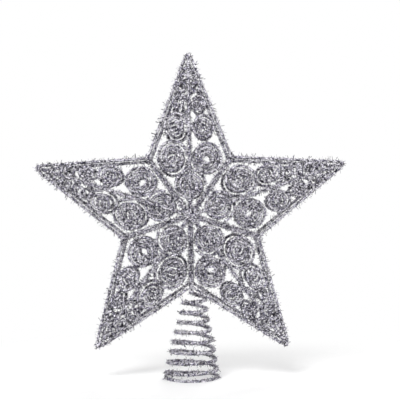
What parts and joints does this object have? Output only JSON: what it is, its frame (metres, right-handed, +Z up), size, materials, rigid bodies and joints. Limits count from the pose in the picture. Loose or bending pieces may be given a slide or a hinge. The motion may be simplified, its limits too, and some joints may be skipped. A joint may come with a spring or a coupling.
{
  "type": "christmas tree topper star",
  "caption": "Five-pointed, double-sided openwork star of scrolled, glitter-coated wire on a conical coil spring that slips over the top of a christmas tree.",
  "frame": {"origin": "on the ground under the middle of the star, at the underside of the spring's flat ground turn", "axes": "+Z up to the top point, +X to the right as seen from the front, and the front half faces -Y"},
  "size_m": [0.2966, 0.0564, 0.3126],
  "materials": {
    "glitter_frame": "steel wire coated all over with fine silver glitter",
    "glitter_scroll": "steel wire coated all over with fine silver glitter",
    "glitter_weld": "steel weld bead under silver glitter",
    "glitter_spring": "spring steel wire coated with fine silver glitter"
  },
  "bodies": {
    "spring": {"conical_spring": "glitter_spring"},
    "spring_head": {"spring_weld": "glitter_weld"},
    "star_pivot": {"lower_corner_weld": "glitter_weld"},
    "star": {"front_corner_welds": "glitter_weld", "back_corner_welds": "glitter_weld", "front_tip_welds": "glitter_weld", "back_tip_welds": "glitter_weld", "front_hub": "glitter_weld", "back_hub": "glitter_weld", "front_rim_top": "glitter_frame", "front_ridge_top": "glitter_frame", "front_scrolls_top": "glitter_scroll", "front_inner_scroll_top": "glitter_scroll", "front_rim_left": "glitter_frame", "front_ridge_left": "glitter_frame", "front_scrolls_left": "glitter_scroll", "front_inner_scroll_left": "glitter_scroll", "front_rim_lower_left": "glitter_frame", "front_ridge_lower_left": "glitter_frame", "front_scrolls_lower_left": "glitter_scroll", "front_inner_scroll_lower_left": "glitter_scroll", "front_rim_lower_right": "glitter_frame", "front_ridge_lower_right": "glitter_frame", "front_scrolls_lower_right": "glitter_scroll", "front_inner_scroll_lower_right": "glitter_scroll", "front_rim_right": "glitter_frame", "front_ridge_right": "glitter_frame", "front_scrolls_right": "glitter_scroll", "front_inner_scroll_right": "glitter_scroll", "front_valley_upper_left": "glitter_frame", "front_valley_left": "glitter_frame", "front_valley_bottom": "glitter_frame", "front_valley_right": "glitter_frame", "front_valley_upper_right": "glitter_frame", "back_rim_top": "glitter_frame", "back_ridge_top": "glitter_frame", "back_scrolls_top": "glitter_scroll", "back_inner_scroll_top": "glitter_scroll", "back_rim_left": "glitter_frame", "back_ridge_left": "glitter_frame", "back_scrolls_left": "glitter_scroll", "back_inner_scroll_left": "glitter_scroll", "back_rim_lower_left": "glitter_frame", "back_ridge_lower_left": "glitter_frame", "back_scrolls_lower_left": "glitter_scroll", "back_inner_scroll_lower_left": "glitter_scroll", "back_rim_lower_right": "glitter_frame", "back_ridge_lower_right": "glitter_frame", "back_scrolls_lower_right": "glitter_scroll", "back_inner_scroll_lower_right": "glitter_scroll", "back_rim_right": "glitter_frame", "back_ridge_right": "glitter_frame", "back_scrolls_right": "glitter_scroll", "back_inner_scroll_right": "glitter_scroll", "back_valley_upper_left": "glitter_frame", "back_valley_left": "glitter_frame", "back_valley_bottom": "glitter_frame", "back_valley_right": "glitter_frame", "back_valley_upper_right": "glitter_frame"}
  },
  "joints": [
    {"name": "spring_compress", "type": "slide", "parent": "spring", "child": "spring_head", "axis": [0, 0, 1], "range_m": [-0.02, 0.008], "stiffness_N_per_m": 700, "springref_m": 0.0058, "deforming": ["conical_spring"]},
    {"name": "star_nod", "type": "hinge", "parent": "spring_head", "child": "star_pivot", "pos_m": [0, -0.00145, 0.08833], "axis": [1, 0, 0], "range_deg": [-8, 8], "stiffness_Nm_per_rad": 1.5},
    {"name": "star_lean", "type": "hinge", "parent": "star_pivot", "child": "star", "pos_m": [0, -0.00145, 0.08833], "axis": [0, 1, 0], "range_deg": [-8, 8], "stiffness_Nm_per_rad": 1.5}
  ]
}
